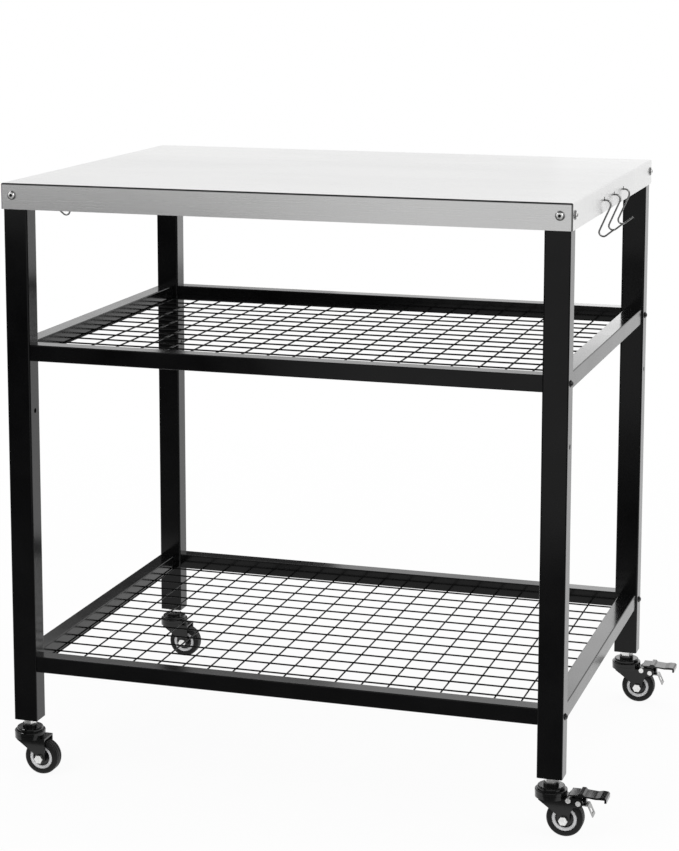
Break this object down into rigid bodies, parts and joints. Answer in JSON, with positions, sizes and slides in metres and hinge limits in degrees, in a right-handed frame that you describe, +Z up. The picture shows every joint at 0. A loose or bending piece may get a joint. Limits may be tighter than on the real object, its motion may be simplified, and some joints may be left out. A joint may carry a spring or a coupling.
{
  "type": "outdoor pizza oven table",
  "caption": "Rolling outdoor table with a folded stainless top, black tube frame, bolted wire mesh shelves, swinging S-hooks and swivel casters, the right pair with foot brakes.",
  "frame": {"origin": "on the floor, at the bottom centre of the whole outline; the table's own middle lies 20.9 mm to -X of it, because the pedals reach out further on the right than the hooks do on the left", "axes": "+X to the right along the width, +Y to the back, +Z up"},
  "size_m": [0.8723, 0.609, 0.85],
  "materials": {
    "stainless_top": "brushed stainless sheet",
    "frame_paint": "semi-gloss black powder coat",
    "mesh_wire": "semi-gloss black powder coat",
    "black_bolt": "black oxide",
    "bright_screw": "bright stainless",
    "zinc_insert": "zinc plated",
    "caster_chrome": "bright plated",
    "caster_cup": "gloss black with bright worn rim",
    "caster_black": "gloss black",
    "wheel_core": "black with a light grey ring",
    "wheel_tyre": "smooth black",
    "leaf_steel": "bright spring steel",
    "hook_steel": "polished stainless wire"
  },
  "bodies": {
    "table": {"tabletop": "stainless_top", "tabletop_stiffener_left": "stainless_top", "tabletop_stiffener_right": "stainless_top", "leg_front_left": "frame_paint", "leg_front_right": "frame_paint", "leg_back_left": "frame_paint", "leg_back_right": "frame_paint", "mid_side_rail_left": "frame_paint", "mid_side_rail_right": "frame_paint", "mid_front_rail": "frame_paint", "mid_back_rail": "frame_paint", "mid_shelf_mesh": "mesh_wire", "low_side_rail_left": "frame_paint", "low_side_rail_right": "frame_paint", "low_front_rail": "frame_paint", "low_back_rail": "frame_paint", "low_shelf_mesh": "mesh_wire", "shelf_bolts": "black_bolt", "top_screws": "bright_screw", "rivet_nuts": "zinc_insert", "rail_end_plates": "zinc_insert", "leg_end_plugs": "zinc_insert", "caster_stem_front_left": "caster_chrome", "caster_cup_front_left": "caster_cup", "caster_stem_front_right": "caster_chrome", "caster_cup_front_right": "caster_cup", "caster_stem_back_left": "caster_chrome", "caster_cup_back_left": "caster_cup", "caster_stem_back_right": "caster_chrome", "caster_cup_back_right": "caster_cup"},
    "swivel_front_left": {"caster_fork_front_left": "caster_black", "caster_axle_front_left": "caster_chrome"},
    "wheel_front_left": {"wheel_hub_front_left": "wheel_core", "wheel_tyre_front_left": "wheel_tyre"},
    "swivel_front_right": {"caster_fork_front_right": "caster_black", "caster_axle_front_right": "caster_chrome", "brake_pins_front_right": "caster_chrome"},
    "wheel_front_right": {"wheel_hub_front_right": "wheel_core", "wheel_tyre_front_right": "wheel_tyre"},
    "pedal_front_right": {"brake_pedal_front_right": "caster_black"},
    "leaf_front_right": {"brake_leaf_front_right": "leaf_steel"},
    "swivel_back_left": {"caster_fork_back_left": "caster_black", "caster_axle_back_left": "caster_chrome"},
    "wheel_back_left": {"wheel_hub_back_left": "wheel_core", "wheel_tyre_back_left": "wheel_tyre"},
    "swivel_back_right": {"caster_fork_back_right": "caster_black", "caster_axle_back_right": "caster_chrome", "brake_pins_back_right": "caster_chrome"},
    "wheel_back_right": {"wheel_hub_back_right": "wheel_core", "wheel_tyre_back_right": "wheel_tyre"},
    "pedal_back_right": {"brake_pedal_back_right": "caster_black"},
    "leaf_back_right": {"brake_leaf_back_right": "leaf_steel"},
    "hook_right_front": {"s_hook_right_front": "hook_steel"},
    "hook_right_middle": {"s_hook_right_middle": "hook_steel"},
    "hook_right_back": {"s_hook_right_back": "hook_steel"},
    "hook_left_front": {"s_hook_left_front": "hook_steel"},
    "hook_left_back": {"s_hook_left_back": "hook_steel"}
  },
  "joints": [
    {"name": "caster_swivel_front_left", "type": "hinge", "parent": "table", "child": "swivel_front_left", "pos_m": [-0.40094, -0.2825, 0.054], "axis": [0, 0, 1], "continuous": true},
    {"name": "wheel_spin_front_left", "type": "hinge", "parent": "swivel_front_left", "child": "wheel_front_left", "pos_m": [-0.38094, -0.2825, 0.025], "axis": [0, 1, 0], "continuous": true},
    {"name": "caster_swivel_front_right", "type": "hinge", "parent": "table", "child": "swivel_front_right", "pos_m": [0.35906, -0.2825, 0.054], "axis": [0, 0, 1], "continuous": true},
    {"name": "wheel_spin_front_right", "type": "hinge", "parent": "swivel_front_right", "child": "wheel_front_right", "pos_m": [0.37906, -0.2825, 0.025], "axis": [0, 1, 0], "continuous": true},
    {"name": "brake_pedal_front_right", "type": "hinge", "parent": "swivel_front_right", "child": "pedal_front_right", "pos_m": [0.39856, -0.2825, 0.0505], "axis": [0, 1, 0], "range_deg": [0, 12]},
    {"name": "brake_leaf_front_right", "type": "hinge", "parent": "swivel_front_right", "child": "leaf_front_right", "pos_m": [0.38506, -0.2825, 0.0532], "axis": [0, 1, 0], "range_deg": [0, 4]},
    {"name": "caster_swivel_back_left", "type": "hinge", "parent": "table", "child": "swivel_back_left", "pos_m": [-0.40094, 0.2825, 0.054], "axis": [0, 0, 1], "continuous": true},
    {"name": "wheel_spin_back_left", "type": "hinge", "parent": "swivel_back_left", "child": "wheel_back_left", "pos_m": [-0.38094, 0.2825, 0.025], "axis": [0, 1, 0], "continuous": true},
    {"name": "caster_swivel_back_right", "type": "hinge", "parent": "table", "child": "swivel_back_right", "pos_m": [0.35906, 0.2825, 0.054], "axis": [0, 0, 1], "continuous": true},
    {"name": "wheel_spin_back_right", "type": "hinge", "parent": "swivel_back_right", "child": "wheel_back_right", "pos_m": [0.37906, 0.2825, 0.025], "axis": [0, 1, 0], "continuous": true},
    {"name": "brake_pedal_back_right", "type": "hinge", "parent": "swivel_back_right", "child": "pedal_back_right", "pos_m": [0.39856, 0.2825, 0.0505], "axis": [0, 1, 0], "range_deg": [0, 12]},
    {"name": "brake_leaf_back_right", "type": "hinge", "parent": "swivel_back_right", "child": "leaf_back_right", "pos_m": [0.38506, 0.2825, 0.0532], "axis": [0, 1, 0], "range_deg": [0, 4]},
    {"name": "hook_swing_right_front", "type": "hinge", "parent": "table", "child": "hook_right_front", "pos_m": [0.37906, -0.084, 0.8303], "axis": [1, 0, 0], "range_deg": [-30, 30]},
    {"name": "hook_swing_right_middle", "type": "hinge", "parent": "table", "child": "hook_right_middle", "pos_m": [0.37906, -0.012, 0.8303], "axis": [1, 0, 0], "range_deg": [-30, 30]},
    {"name": "hook_swing_right_back", "type": "hinge", "parent": "table", "child": "hook_right_back", "pos_m": [0.37906, 0.06, 0.8303], "axis": [1, 0, 0], "range_deg": [-30, 30]},
    {"name": "hook_swing_left_front", "type": "hinge", "parent": "table", "child": "hook_left_front", "pos_m": [-0.42094, -0.084, 0.8303], "axis": [1, 0, 0], "range_deg": [-30, 30]},
    {"name": "hook_swing_left_back", "type": "hinge", "parent": "table", "child": "hook_left_back", "pos_m": [-0.42094, 0.06, 0.8303], "axis": [1, 0, 0], "range_deg": [-30, 30]}
  ],
  "couplings": [
    {"joint": "brake_leaf_front_right", "follows": "brake_pedal_front_right", "ratio": 0.3333},
    {"joint": "brake_leaf_back_right", "follows": "brake_pedal_back_right", "ratio": 0.3333}
  ]
}
